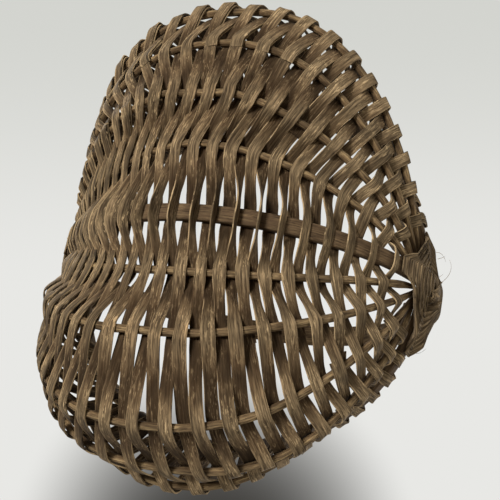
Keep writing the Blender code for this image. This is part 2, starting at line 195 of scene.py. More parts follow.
# Where each row crosses each curve: point, curve direction, outward way, width, row space, half size
def layRows():
    count = weave["rows"]
    here = np.zeros((count, 13, 3))
    way = np.zeros((count, 13, 3))
    for j in range(count):
        for i in range(13):
            s = rowsOn[i][j]
            here[j, i] = atLength(lines[i], runs[i], s)
            way[j, i] = unit(atLength(lines[i], runs[i], s + 1) - atLength(lines[i], runs[i], s - 1))
    outward = np.zeros_like(here)
    wide = np.zeros((count, 13))
    space = np.zeros((count, 13))
    size = np.zeros((count, 13))
    for j in range(count):
        for i in range(13):
            on = here[j, min(i + 1, 12)] - here[j, max(i - 1, 0)]
            if i in (0, 12):
                outward[j, i] = unit(np.array([way[j, i][1], -way[j, i][0], 0.0]))
                if np.dot(outward[j, i], here[j, i] * np.array([1, 1, 0])) < 0:
                    outward[j, i] = -outward[j, i]
                size[j, i] = shape["rimThick"] / 2
            elif i == 6:
                outward[j, i] = unit(np.cross(way[j, i], across))
                size[j, i] = shape["handleThick"] / 2
            else:
                outward[j, i] = unit(np.cross(way[j, i], on))
                size[j, i] = rodRadius(i, rowsOn[i][j])
            near = [abs(rowsOn[i][n] - rowsOn[i][j]) for n in (j - 1, j + 1) if 0 <= n < count]
            space[j, i] = min(near) * np.linalg.norm(np.cross(unit(on), way[j, i]))
            overlap = np.interp(here[j, i][0], weave["overlapPlaces"], weave["overlaps"])
            overlap = weave["rimOverlap"] if i in (0, 12) else overlap
            wide[j, i] = min(weave["wide"], overlap * space[j, i])
    return here, way, outward, wide, space, size


here, way, outward, wide, space, size = layRows()
base = size + weave["clearance"] + weave["thick"] / 2
sign = np.array([[1.0 if isOutside(i, j) else -1.0 for i in range(13)] for j in range(weave["rows"])])


# Offsets from the curves, larger where a splint leaves its rod steeply
def settle():
    off = base.copy()
    for _ in range(3):
        spots = here + outward * (off * sign)[..., None]
        for j in range(weave["rows"]):
            for i in (1, 2, 3, 4, 5, 7, 8, 9, 10, 11):
                worst = 0.0
                for n in (i - 1, i + 1):
                    leave = unit(spots[j, n] - spots[j, i])
                    worst = max(worst, -sign[j, i] * np.dot(leave, outward[j, i]))
                lean = min(math.asin(min(worst, 1.0)), weave["mostLean"])
                off[j, i] = base[j, i] / math.cos(lean)
    return off * sign


offs = settle()


def isFoot(i, j):
    return i in (4, 8) and isOutside(i, j) and abs(here[j, i][0]) < weave["footReach"]


# One bend of a splint. Twist is in degrees, +X edge outward, and turns round with the row's direction
def bendOf(spot, side, wide, wearAndShade, twist=0.0, crossing=None):
    if crossing and crossing[0] % 2 == 1:
        twist = -twist
    return {"spot": spot, "side": side, "wide": wide, "wearAndShade": wearAndShade, "twist": twist, "crossing": crossing}


def bandTwist(j):
    return float(np.interp(here[j, 6][0], weave["bandPlaces"], weave["bandTwists"]))


# Between two rods a splint turns like a slat, so that it and its neighbours fit side by side
def slatTwist(space, wide, x):
    full = math.degrees(math.acos(min(1.0, weave["closeness"] * space / wide)))
    return full * float(np.interp(x, weave["slatPlaces"], weave["slats"]))


# The bends of row j at curve i, from front to back
def crossingBends(j, i, extra=0.0):
    n = outward[j, i]
    off = offs[j, i] + extra
    w, spot, side = wide[j, i], here[j, i], way[j, i]
    # Outside a rod the splint is worn pale; inside one, in the hollow, it gets painted shade
    wearAndShade = 1.0 if isOutside(i, j) else 0.0
    if i == 6:
        half = shape["bandWide"] / 2
        twist = bandTwist(j) if isOutside(i, j) else 0.0
        off = off + abs(math.sin(math.radians(twist))) * (w - weave["thick"]) / 2
        return [bendOf(spot + n * off + across * end, side, w, wearAndShade, twist, (j, i))
                for end in (-half, half)]
    if i in (0, 12):
        low = up * (shape["rimTall"] / 2 - weave["aboveRimEdge"])
        return [bendOf(spot + n * off - low, side, w, wearAndShade, 0.0, (j, i))]
    if isFoot(i, j):
        down = np.array([spot[0], spot[1], weave["thick"] / 2])
        step = across * weave["footHalfLength"]
        level = unit(np.array([side[0], side[1], 0.0]))
        return [bendOf(down + step * end, level, w, wearAndShade, 0.0, (j, i)) for end in (-1, 1)]
    return [bendOf(spot + n * off, side, w, wearAndShade, 0.0, (j, i))]


# Over the top of the rim, from one row to the next
def turnBends(jFrom, jTo, i):
    rise = up * (shape["rimTall"] / 2 + weave["clearance"] + weave["thick"] / 2)
    bends = []
    for share, j in ((0.25, jFrom), (0.75, jTo)):
        spot = here[jFrom, i] * (1 - share) + here[jTo, i] * share
        n = unit(outward[jFrom, i] + outward[jTo, i])
        along = unit(here[jTo, i] - here[jFrom, i]) * np.sign(jTo - jFrom)
        narrower = min(wide[jFrom, i], wide[jTo, i])
        bends.append(bendOf(spot + n * offs[j, i] + rise, along, narrower, weave["rimWear"]))
    return bends


# Crossings at which one splint ends and the next starts, unevenly spread. They are kept off the rim
# and the band and, in the middle rows, off the feet
def spliceStations():
    total = weave["rows"] * 13
    low, high = weave["middleRows"]
    marks = []
    for n in range(1, weave["splints"]):
        g = round(total * n / weave["splints"]) + (n * 5) % 7 - 4
        j, m = divmod(g, 13)
        m = min(max(m, 2), 9)
        if m in (5, 6):
            m = 4
        if low <= j <= high and m in (3, 4, 7, 8):
            m = 2 if m < 6 else 9
        marks.append(j * 13 + m)
    return marks


marks = spliceStations()
starts = [0] + marks
ends = [m + 1 for m in marks] + [weave["rows"] * 13 - 1]


def place(g):
    j, m = divmod(g, 13)
    return j, (m if j % 2 == 0 else 12 - m), m


def bendsAt(number, g):
    j, i = place(g)[:2]
    first, last = starts[number], ends[number]
    step = (weave["thick"] + weave["spliceGap"]) * abs(offs[j, i]) / base[j, i]
    extra = 0.0
    if number > 0 and g in (first, first + 1) and isOutside(i, j):
        extra = step
    if number < weave["splints"] - 1 and g in (last - 1, last) and not isOutside(i, j):
        extra = -step
    bends = crossingBends(j, i, extra)
    return bends if j % 2 == 0 else list(reversed(bends))


# A cut end, laid along the splint that it overlaps
def tailBend(number, g, beyond, bend):
    j, i, m = place(g)
    if m in (0, 12):
        return bendOf(bend["spot"] + up * weave["tail"], bend["side"], bend["wide"], bend["wearAndShade"])
    near = bendsAt(number + beyond, g)[0 if beyond < 0 else -1]["spot"]
    far = bendsAt(number + beyond, g + beyond)[-1 if beyond < 0 else 0]["spot"]
    share = weave["tail"] / np.linalg.norm(far - near)
    swell = math.sin(math.pi * min(share, 1.0)) ** weave["slatSwell"]
    twist = slatTwist(space[j, i], bend["wide"], near[0]) * swell
    twist = -twist if j % 2 == 1 else twist
    tail = bendOf(bend["spot"] + unit(far - near) * weave["tail"], bend["side"], bend["wide"], bend["wearAndShade"])
    tail["twist"] = twist
    return tail


def splintBends(number):
    bends = []
    first, last = starts[number], ends[number]
    for g in range(first, last + 1):
        j, i, m = place(g)
        bends += bendsAt(number, g)
        if m == 12 and g < last:
            bends += turnBends(j, j + 1, i)
    return [tailBend(number, first, -1, bends[0])] + bends + [tailBend(number, last, 1, bends[-1])]


# What is left of a splint's lean, this part of the way from the band to the next rod
def slowFall(t):
    x = min(max((t - weave["leanHold"]) / (1 - weave["leanHold"]), 0.0), 1.0)
    return 1 - x * x * (3 - 2 * x)


# Even samples of a smooth path through the bends: centre, side way, width, wear and painted shade mark, and
# twist
def smoothPath(bends, step, hug):
    spots = np.array([bend["spot"] for bend in bends])
    gap = np.linalg.norm(np.diff(spots, axis=0), axis=1)
    slope = np.diff(spots, axis=0) / gap[:, None]
    ways = np.zeros_like(spots)
    ways[0], ways[-1] = slope[0], slope[-1]
    for n in range(1, len(spots) - 1):
        ways[n] = unit(slope[n - 1] + slope[n])
    path, side, wideAt, wearAndShade, twist = [], [], [], [], []
    for n, (one, two) in enumerate(zip(bends, bends[1:])):
        count = max(3, int(round(gap[n] / step)))
        reach = hug * gap[n]
        slat, narrow = 0.0, math.inf
        a, b = one["crossing"], two["crossing"]
        if a and b and a[0] == b[0] and a[1] != b[1]:
            gapSpace = (space[a] + space[b]) / 2
            slat = slatTwist(gapSpace, (one["wide"] + two["wide"]) / 2, (spots[n][0] + spots[n + 1][0]) / 2)
            narrow = weave["closeness"] * gapSpace / math.cos(math.radians(slat))
            slat = -slat if a[0] % 2 == 1 else slat
        last = n == len(bends) - 2
        for t in np.linspace(0, 1, count + 1)[:None if last else -1]:
            p, q = 2 * t**3 - 3 * t**2 + 1, t**3 - 2 * t**2 + t
            r, s = -2 * t**3 + 3 * t**2, t**3 - t**2
            path.append(p * spots[n] + q * reach * ways[n] + r * spots[n + 1] + s * reach * ways[n + 1])
            ease = t * t * (3 - 2 * t)
            side.append(one["side"] * (1 - ease) + two["side"] * ease)
            middle = math.sin(math.pi * t) ** weave["slatSwell"]
            full = one["wide"] * (1 - ease) + two["wide"] * ease
            wideAt.append(full + (min(full, narrow) - full) * middle * weave["narrowing"])
            turned = one["twist"] * (1 - ease) + two["twist"] * ease
            if a != b:                        # the lean at the band doesn't fade at once
                turned = one["twist"] * slowFall(t) + two["twist"] * slowFall(1 - t)
            bump = slat * middle
            twist.append(turned if abs(turned) > abs(bump) else bump)
            fade, whole = t * gap[n] / weave["wearReach"], gap[n] / weave["wearReach"]
            wearAndShade.append(max(one["wearAndShade"] * (1 - fade), two["wearAndShade"] * (1 - whole + fade), 0.0))
    return tuple(np.array(values) for values in (path, side, wideAt, wearAndShade, twist))


# Meshes: a grid is added, its points are laid along the piece, and modifiers give it its body

def dropSelection():
    if bpy.context.object and bpy.context.object.mode != "OBJECT":
        bpy.ops.object.mode_set(mode="OBJECT")
    bpy.ops.object.select_all(action="DESELECT")


# A grid primitive laid on rows of points, with its own lengths as UVs and its marks of wear, tone and
# painted shade stored
def layGrid(name, points, along, aside, marksOn):
    rowCount, columnCount = points.shape[:2]
    dropSelection()
    bpy.ops.mesh.primitive_grid_add(x_subdivisions=columnCount - 1, y_subdivisions=rowCount - 1, size=1.0)
    piece = bpy.context.object
    piece.name = name
    mesh = piece.data
    mesh.name = name
    shift = across * shape["backReachOverFront"] / 2
    flat = ((points - shift) * 0.001).reshape(-1, 3)
    mesh.vertices.foreach_set("co", flat.ravel())
    corner = np.zeros(len(mesh.loops), dtype=np.int64)
    mesh.loops.foreach_get("vertex_index", corner)
    uv = np.stack([np.broadcast_to(along[:, None], (rowCount, columnCount)).reshape(-1),
                   aside.reshape(-1)], 1) * 0.001
    mesh.uv_layers[0].data.foreach_set("uv", uv[corner].ravel())
    for word, values in marksOn.items():
        layer = mesh.attributes.new(word, "FLOAT", "POINT")
        layer.data.foreach_set("value", values.astype(np.float32).ravel())
    mesh.update()
    return piece


def applyModifier(piece, kind, **settings):
    modifier = piece.modifiers.new(kind.title(), kind)
    for word, value in settings.items():
        setattr(modifier, word, value)
    bpy.ops.object.modifier_apply(modifier=modifier.name)


# Merges the seam of the active piece, closes its ends and turns its faces outwards
def closeTube():
    bpy.ops.object.mode_set(mode="EDIT")
    bpy.ops.mesh.select_all(action="SELECT")
    bpy.ops.mesh.remove_doubles(threshold=0.000001)
    bpy.ops.mesh.select_all(action="SELECT")
    bpy.ops.mesh.fill_holes(sides=80)
    bpy.ops.mesh.select_all(action="SELECT")
    bpy.ops.mesh.normals_make_consistent(inside=False)
    bpy.ops.object.mode_set(mode="OBJECT")


def thicken(piece, evenly=False):
    applyModifier(piece, "SOLIDIFY", thickness=weave["thick"] * 0.001, offset=0.0, use_even_offset=evenly)


# Rings of points round a path
def ringPoints(path, first, second, ring, angles):
    return (path[:, None] + first[:, None] * (ring * np.cos(angles))[..., None]
            + second[:, None] * (ring * np.sin(angles))[..., None])


def joinPieces(made, name):
    dropSelection()
    for piece in made:
        piece.select_set(True)
    bpy.context.view_layer.objects.active = made[0]
    bpy.ops.object.join()
    made[0].name = name


def finishPiece(piece, material, slotName, *nodes, angle=40):
    bpy.ops.object.shade_smooth_by_angle(angle=math.radians(angle))
    piece.data.materials.clear()
    piece.data.materials.append(material)
    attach(piece, "root")
    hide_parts(*nodes)


# Materials

def linear(hexColour):
    parts = [int(hexColour[n:n + 2], 16) / 255 for n in (1, 3, 5)]
    return tuple(c / 12.92 if c <= 0.04045 else ((c + 0.055) / 1.055) ** 2.4 for c in parts) + (1.0,)


# One node with its properties, input values and links, given as (node, output)
def addNode(tree, kind, settings=None, links=None, **properties):
    node = tree.nodes.new(kind)
    for word, value in properties.items():
        setattr(node, word, value)
    for word, value in (settings or {}).items():
        node.inputs[word].default_value = value
    for word, (source, output) in (links or {}).items():
        tree.links.new(source.outputs[output], node.inputs[word])
    return node


def rampStops(node, stops):
    elements = node.color_ramp.elements
    while len(elements) > 1:
        elements.remove(elements[-1])
    elements[0].position, elements[0].color = stops[0]
    for position, colour in stops[1:]:
        elements.new(position).color = colour


# Sizes of the oak's markings along and across the fibres, in millimetres. Real pores are about
# 0.3 mm wide and fibres finer still, so both are drawn coarser, as wide as they show in a picture
grain = {
    "patches": {"long": 24.0, "wide": 7.0, "detail": 3.0, "roughness": 0.6},
    "fibres": {"long": 20.0, "wide": 1.2, "detail": 4.0, "roughness": 0.66},
    "pores": {"long": 10.0, "wide": 0.75, "detail": 2.0, "roughness": 0.5},
    "flecks": {"long": 6.0, "wide": 0.9, "detail": 2.5, "roughness": 0.7},
}


# White oak gone grey-brown: long dark pores, pale flecks where it is rubbed, brown and dull where it
# isn't, and darkened there by painted shade. It has almost no gloss left, so roughness is high and the sheen
# is turned down
def weatheredOak(name, finish):
    material = bpy.data.materials.new(name)
    material.use_nodes = True
    tree = material.node_tree
    shader = tree.nodes["Principled BSDF"]
    uv = addNode(tree, "ShaderNodeUVMap", uv_map="UVMap")
    marks = {}
    for word, mark in grain.items():
        perMetre = (1000 / mark["long"], 1000 / mark["wide"], 1.0)
        scaled = addNode(tree, "ShaderNodeMapping", {"Scale": perMetre}, {"Vector": (uv, "UV")})
        marks[word] = addNode(tree, "ShaderNodeTexNoise",
                              {"Scale": 1.0, "Detail": mark["detail"], "Roughness": mark["roughness"]},
                              {"Vector": (scaled, "Vector")}, noise_dimensions="2D")
    ground = addNode(tree, "ShaderNodeValToRGB", links={"Fac": (marks["fibres"], "Fac")})
    rampStops(ground, ((0.33, linear(finish["dark"])), (0.46, linear(finish["middle"])),
                       (0.56, linear(finish["light"])), (0.68, linear(finish["pale"]))))
    wearAndShade = addNode(tree, "ShaderNodeAttribute", attribute_name="wearAndShade")
    kept = addNode(tree, "ShaderNodeMapRange",
                   {"From Min": 0.0, "From Max": 0.7, "To Min": finish["browner"], "To Max": 0.0},
                   {"Value": (wearAndShade, "Fac")})
    brown = addNode(tree, "ShaderNodeMix", {"B": linear(finish["brown"])},
                    {"Factor": (kept, "Result"), "A": (ground, "Color")}, data_type="RGBA")
    low, high = 1 - finish["mottle"], 1 + finish["mottle"]
    patch = addNode(tree, "ShaderNodeMapRange",
                    {"From Min": 0.34, "From Max": 0.66, "To Min": low, "To Max": high},
                    {"Value": (marks["patches"], "Fac")})
    # Painted shade: where the wear mark is low, in the hollows behind the rods and under laps, the colour is
    # darkened
    paintedShade = addNode(tree, "ShaderNodeMapRange",
                    {"From Min": 0.0, "From Max": 0.5, "To Min": finish["paintedShade"], "To Max": 1.0},
                    {"Value": (wearAndShade, "Fac")})
    # The tone mark is random tone, with painted shade added on the crowded splints, the hoop crossings and
    # the ear cross
    toneAndShade = addNode(tree, "ShaderNodeAttribute", attribute_name="toneAndShade")
    patchesAndShade = addNode(tree, "ShaderNodeMath", links={0: (patch, "Result"), 1: (paintedShade, "Result")},
                      operation="MULTIPLY")
    toned = addNode(tree, "ShaderNodeMath", links={0: (patchesAndShade, "Value"), 1: (toneAndShade, "Fac")},
                    operation="MULTIPLY")
    tinted = addNode(tree, "ShaderNodeVectorMath", links={0: (brown, "Result"), 1: (toned, "Value")},
                     operation="MULTIPLY")
    rub = addNode(tree, "ShaderNodeMath", links={0: (wearAndShade, "Fac"), 1: (marks["fibres"], "Fac")},
                  operation="MULTIPLY")
    rubbed = addNode(tree, "ShaderNodeMapRange",
                     {"From Min": 0.40, "From Max": 0.66, "To Min": 0.0, "To Max": finish["rubbed"]},
                     {"Value": (rub, "Value")})
    fleck = addNode(tree, "ShaderNodeMapRange",
                    {"From Min": 0.56, "From Max": 0.63, "To Min": 0.0, "To Max": finish["flecked"]},
                    {"Value": (marks["flecks"], "Fac")})
    scuffed = addNode(tree, "ShaderNodeMapRange",
                      {"From Min": 0.45, "From Max": 0.60, "To Min": 0.0, "To Max": 0.85},
                      {"Value": (marks["patches"], "Fac")})
    bare = addNode(tree, "ShaderNodeMapRange", {"To Min": 0.35, "To Max": 1.0}, {"Value": (wearAndShade, "Fac")})
    flecked = addNode(tree, "ShaderNodeMath", links={0: (fleck, "Result"), 1: (bare, "Result")},
                      operation="MULTIPLY")
    scuff = addNode(tree, "ShaderNodeMath", links={0: (flecked, "Value"), 1: (scuffed, "Result")},
                    operation="MULTIPLY")
    pale = addNode(tree, "ShaderNodeMath", links={0: (rubbed, "Result"), 1: (scuff, "Value")},
                   operation="MAXIMUM")
    edge = addNode(tree, "ShaderNodeAttribute", attribute_name="edge")
    cut = addNode(tree, "ShaderNodeMath", {1: finish["cutEdgeAndHighlight"]}, {0: (edge, "Fac")}, operation="MULTIPLY")
    paler = addNode(tree, "ShaderNodeMath", links={0: (pale, "Value"), 1: (cut, "Value")},
                    operation="MAXIMUM")
    worn = addNode(tree, "ShaderNodeMix", {"B": linear(finish["worn"])},
                   {"Factor": (paler, "Value"), "A": (tinted, "Vector")}, data_type="RGBA")
    poreMask = addNode(tree, "ShaderNodeMapRange",
                       {"From Min": 0.32, "From Max": 0.44, "To Min": 0.55, "To Max": 0.0},
                       {"Value": (marks["pores"], "Fac")})
    dark = addNode(tree, "ShaderNodeMix", {"B": linear(finish["pore"])},
                   {"Factor": (poreMask, "Result"), "A": (worn, "Result")}, data_type="RGBA")
    tree.links.new(dark.outputs["Result"], shader.inputs["Base Color"])
    rough = addNode(tree, "ShaderNodeMapRange", {"To Min": 0.95, "To Max": 0.75}, {"Value": (rub, "Value")})
    tree.links.new(rough.outputs["Result"], shader.inputs["Roughness"])
    ridges = addNode(tree, "ShaderNodeMath", {1: 0.7}, {0: (marks["pores"], "Fac")}, operation="MULTIPLY")
    height = addNode(tree, "ShaderNodeMath", links={0: (marks["fibres"], "Fac"), 1: (ridges, "Value")},
                     operation="ADD")
    bump = addNode(tree, "ShaderNodeBump", {"Strength": finish["bump"], "Distance": 0.0005},
                   {"Height": (height, "Value")})
    tree.links.new(bump.outputs["Normal"], shader.inputs["Normal"])
    shader.inputs["IOR"].default_value = 1.5
    shader.inputs["Specular IOR Level"].default_value = 0.12
    return material


# Riven splints are scratched pale over the rods, and their cut edges are paler than their faces. Near the +X
# ear one edge of each splint also carries a painted highlight
splintOak = weatheredOak("weatheredSplintOak", {
    "dark": "#453727", "middle": "#5f4f39", "light": "#6f5d45", "pale": "#897355",
    "worn": "#bda27a", "pore": "#261c12", "bump": 0.5, "mottle": 0.24, "paintedShade": 0.40,
    "rubbed": 0.12, "flecked": 0.9, "cutEdgeAndHighlight": 0.55, "brown": "#5f442a", "browner": 0.5})
# Whittled rods show more of the pale wood on the outside of each bend; their side facing into the basket is
# darkened by painted shade
rodOak = weatheredOak("whittledRodOak", {
    "dark": "#473826", "middle": "#5f4d37", "light": "#705c42", "pale": "#86704e",
    "worn": "#a89068", "pore": "#271c12", "bump": 0.5, "mottle": 0.34, "paintedShade": 0.75,
    "rubbed": 0.4, "flecked": 0.8, "cutEdgeAndHighlight": 0.0, "brown": "#5c4228", "browner": 0.3})
# Hoops are shaved smooth and darkened by hands, so their marks are faint
hoopOak = weatheredOak("bentHoopOak", {
    "dark": "#433526", "middle": "#534230", "light": "#5e4c37", "pale": "#6c5940",
    "worn": "#8c7551", "pore": "#20170e", "bump": 0.3, "mottle": 0.16, "paintedShade": 0.85,
    "rubbed": 0.25, "flecked": 0.4, "cutEdgeAndHighlight": 0.0, "brown": "#4d3925", "browner": 0.4})
# The lashing is splint too, and the tucked side of each turn is darkened by painted shade
lashingOak = weatheredOak("darkLashingOak", {
    "dark": "#5f4e3a", "middle": "#746149", "light": "#847056", "pale": "#968163",
    "worn": "#b59a73", "pore": "#20180f", "bump": 0.4, "mottle": 0.14, "paintedShade": 0.42,
    "rubbed": 0.12, "flecked": 0.6, "cutEdgeAndHighlight": 0.25, "brown": "#54402b", "browner": 0.3})


# Splints

splintLook = {
    "columns": (-0.5, -0.455, -0.31, -0.11, 0.11, 0.31, 0.455, 0.5), "step": 1.8, "hug": 0.65,
    "cup": 0.30, "wander": 0.35, "widthWander": 0.05, "tilt": 2.6,
    "edgeFray": 0.16, "frayEvery": 5.0, "edgeRound": 0.13, "wanderEvery": 24.0,
    "toneEach": 0.20, "toneWander": 0.14, "edgeWander": 1.2,
    "crowdFrom": (5.0, 60.0), "crowdShade": 0.42, "crowdMiddle": 0.55,
    "crowdPaintedHighlight": 0.55, "crowdHighlightFrom": 0.85,
}


def makeSplint(number):
    look = splintLook
    step = look["step"] * 1
    path, side, wideAt, wearAndShade, twist = smoothPath(splintBends(number), step, look["hug"])
    count = len(path)
    run = lengths(path)
    knots = max(4, int(run[-1] / look["wanderEvery"]))
    forward = unitRows(np.gradient(path, axis=0))
    side = unitRows(side - forward * (side * forward).sum(1)[:, None])
    face = np.cross(forward, side)
    turn = np.radians(twist + smoothNoise(100 + number, count, knots, look["tilt"]))[:, None]
    side, face = side * np.cos(turn) + face * np.sin(turn), face * np.cos(turn) - side * np.sin(turn)
    path = path + side * smoothNoise(200 + number, count, knots, look["wander"])[:, None]
    wideAt = wideAt * (1 + smoothNoise(300 + number, count, knots, look["widthWander"]))
    cup = smoothNoise(400 + number, count, knots, look["cup"])
    columns = np.array(look["columns"])
    reach = columns[None, :] * wideAt[:, None]
    for column, seed in ((0, 500), (-1, 600)):
        fray = smoothNoise(seed + number, count, max(6, int(run[-1] / look["frayEvery"])), look["edgeFray"])
        reach[:, column] += fray
        reach[:, column + (1 if column == 0 else -1)] += fray
    lift = cup[:, None] * (1 - 4 * columns[None, :] ** 2)
    points = path[:, None] + side[:, None] * reach[..., None] + face[:, None] * lift[..., None]
    lowest = points[..., 2].min(axis=1)[:, None]
    points[..., 2] += np.clip(weave["thick"] / 2 - lowest, 0, None)       # stays off the floor
    rng = np.random.default_rng(700 + number)
    each = rng.uniform(-look["toneEach"], look["toneEach"])
    toneAndShade = 1 + smoothNoise(800 + number, count, knots, look["toneWander"])[:, None] + each + 0 * reach
    rubbedEdge = np.clip(smoothNoise(850 + number, count, knots * 3, look["edgeWander"]) + 0.5, 0, 1)
    edge = (np.abs(columns) > 0.49)[None, :] * rubbedEdge[:, None]
    # Near the +X ear, where they crowd together, each splint shades the next: painted shade darkens most of
    # its face and a painted highlight lightens its other edge
    crowd = np.interp(path[:, 0], look["crowdFrom"], (0, 1))[:, None]
    acrossIt = 2 * columns[None, :] * np.sign(side[:, :1])
    toneAndShade = toneAndShade * (1 + look["crowdShade"] * crowd * (acrossIt - look["crowdMiddle"]))
    edge = np.maximum(edge, crowd * (acrossIt > look["crowdHighlightFrom"]) * look["crowdPaintedHighlight"])
    alongUv = run + rng.uniform(0, 900)                                   # every splint has its own grain
    asideUv = reach + rng.uniform(0, 400)
    piece = layGrid(f"splint{number + 1:02d}", points, alongUv, asideUv,
                    {"wearAndShade": wearAndShade[:, None] + 0 * reach, "toneAndShade": toneAndShade, "edge": edge})
    thicken(piece, evenly=True)
    applyModifier(piece, "BEVEL", width=look["edgeRound"] * 0.001, segments=1, limit_method="ANGLE",
                  angle_limit=math.radians(60))
    closeTube()
    finishPiece(piece, splintOak, "oak_splint", f"weaver_{number + 1:02d}")


for number in range(weave["splints"]):
    makeSplint(number)
print("splints woven")


# Rods

rodLook = {
    "sides": 14, "step": 2.6, "knobble": 0.13, "knobbleEvery": 14.0, "wander": 0.12,
    "flats": 0.05, "flatsTurn": 2.0, "flatsTurnKnots": 9, "plump": 1.08, "toneWander": 0.14,
    "rubbedOutside": 0.85,
}


def makeRod(i, name, node):
    look = rodLook
    line, run = lines[i], runs[i]
    count = int(run[-1] / (look["step"] * 1))
    stations = np.linspace(0, run[-1], count)
    path = np.array([atLength(line, run, s) for s in stations])
    forward = unitRows(np.gradient(path, axis=0))
    inward = up * shape["earHeight"] - path
    first = unitRows(inward - forward * (inward * forward).sum(1)[:, None])
    second = np.cross(forward, first)
    knots = int(run[-1] / look["knobbleEvery"])
    radius = np.array([rodRadius(i, s) for s in stations])
    uneven = smoothNoise(900 + i, count, knots, look["knobble"] / rods["radius"])
    radius = radius * look["plump"] * (1 + uneven)
    path = path + first * smoothNoise(920 + i, count, knots, look["wander"])[:, None]
    path = path + second * smoothNoise(940 + i, count, knots, look["wander"])[:, None]
    angles = np.linspace(0, 2 * math.pi, look["sides"] + 1)
    turning = smoothNoise(960 + i, count, look["flatsTurnKnots"], look["flatsTurn"])[:, None]
    whittled = 1 + look["flats"] * np.cos(3 * angles[None, :] + turning)      # three faint flats
    ring = radius[:, None] * whittled
    ring[:, -1] = ring[:, 0]
    points = ringPoints(path, first, second, ring, angles)
    rng = np.random.default_rng(980 + i)
    aside = angles[None, :] * rods["radius"] + 0 * ring + rng.uniform(0, 400)
    toneAndShade = np.broadcast_to(1 + smoothNoise(1000 + i, count, knots, look["toneWander"])[:, None], ring.shape)
    # Worn pale on the outward side; the side facing into the basket gets painted shade
    outside = np.clip(-np.cos(angles), 0, 1)[None, :] * np.ones((count, 1))
    piece = layGrid(name, points, stations + rng.uniform(0, 900), aside,
                    {"wearAndShade": look["rubbedOutside"] * outside, "toneAndShade": toneAndShade})
    closeTube()
    finishPiece(piece, rodOak, "oak_rib", node, angle=60)


for k, i in enumerate((5, 4, 3, 2, 1), 1):
    makeRod(i, f"frontRod{k}", f"rib_front_{k}")
for k, i in enumerate((7, 8, 9, 10, 11), 1):
    makeRod(i, f"backRod{k}", f"rib_back_{k}")
print("rods laid")


# Hoops

hoopLook = {
    "step": 3.0, "corner": 1.3, "cornerSteps": 3, "edgeWander": 0.18, "toneWander": 0.10,
    "wanderEvery": 10, "toneEvery": 8, "seam": 6,       # in samples along the hoop
    "handled": 0.45, "darkReach": 22.0, "darkest": 0.6,
}


# Outline of a shaved strip, wide way first, closed back to its start
def roundedSection(wideHalf, thickHalf, corner, steps):
    outline = []
    for turn, (a, b) in enumerate(((1, 1), (-1, 1), (-1, -1), (1, -1))):
        for n in range(steps + 1):
            angle = math.pi / 2 * (turn + n / steps)
            outline.append((a * (wideHalf - corner) + corner * math.cos(angle),
                            b * (thickHalf - corner) + corner * math.sin(angle)))
        following = ((-1, 1), (-1, -1), (1, -1), (1, 1))[turn]
        start = outline[-1]
        goal = (following[0] * (wideHalf - corner) + corner * math.cos(math.pi / 2 * (turn + 1)),
                following[1] * (thickHalf - corner) + corner * math.sin(math.pi / 2 * (turn + 1)))
        for share in (0.33, 0.67):
            outline.append(tuple(a * (1 - share) + b * share for a, b in zip(start, goal)))
    outline.append(outline[0])
    return np.array(outline)


def makeHoop(name, node, path, wideWay, wideHalf, thickHalf, seed):
    look = hoopLook
    count = len(path)
    forward = unitRows(np.roll(path, -1, axis=0) - np.roll(path, 1, axis=0))
    outwards = np.cross(forward, wideWay)
    middle = path.mean(0)
    flip = np.where(((path - middle) * outwards).sum(1) < 0, -1.0, 1.0)
    outwards = outwards * flip[:, None]
    rings, aside = [], []
    wander = smoothNoise(seed, count, count // look["wanderEvery"], look["edgeWander"])
    seam = look["seam"]
    wander[-seam:] = np.linspace(wander[-seam], wander[0], seam)
    for n in range(count):
        outline = roundedSection(wideHalf[n] + wander[n], thickHalf, look["corner"], look["cornerSteps"])
        rings.append(path[n] + wideWay[n] * outline[:, :1] + outwards[n] * outline[:, 1:])
        aside.append(np.concatenate([[0], np.cumsum(np.linalg.norm(np.diff(outline, axis=0), axis=1))]))
    rings.append(rings[0])
    aside.append(aside[0])
    points = np.array(rings)
    run = np.concatenate([[0], np.cumsum(np.linalg.norm(np.diff(points[:, 0], axis=0), axis=1))])
    ones = np.ones(points.shape[:2])
    toneKnots = count // look["toneEvery"]
    toneAndShade = ones * (1 + smoothNoise(seed + 1, count + 1, toneKnots, look["toneWander"])[:, None])
    toneAndShade[-1] = toneAndShade[0]
    # Painted shade: the hoops are darkened near where they cross under the lashing
    fromEar = np.hypot(points[..., 1], points[..., 2] - shape["earHeight"])
    paintedCrossingShade = np.exp(-(fromEar / look["darkReach"]) ** 2)                    # it stays where the hoops cross
    toneAndShade *= 1 - look["darkest"] * paintedCrossingShade
    piece = layGrid(name, points, run, np.array(aside), {"wearAndShade": look["handled"] * ones, "toneAndShade": toneAndShade})
    closeTube()
    finishPiece(piece, hoopOak, "oak_hoop", node)


def evenPath(line, step):
    run = lengths(line)
    return np.array([atLength(line, run, s) for s in np.linspace(0, run[-1], int(run[-1] / step) + 1)])


# Two half lines joined into one closed path
def ringPath(one, two):
    step = hoopLook["step"]
    return np.concatenate([evenPath(one, step)[:-1], evenPath(two, step)[::-1][:-1]])


rimPath = ringPath(rimLine(1), rimLine(-1))
rimWide = np.full(len(rimPath), shape["rimTall"] / 2)
makeHoop("rimHoop", "rim_hoop", rimPath, np.tile(up, (len(rimPath), 1)), rimWide,
         shape["rimThick"] / 2, 1101)
handlePath = ringPath(handleLine(), bandLine())
lift = np.clip((handlePath[:, 2] - shape["earHeight"]) / shape["handleRise"], 0, 1)
makeHoop("handleHoop", "handle_hoop", handlePath, np.tile(across, (len(handlePath), 1)),
         handleWideAt(lift) / 2, shape["handleThick"] / 2, 1201)
print("hoops bent")


# Ear lashings

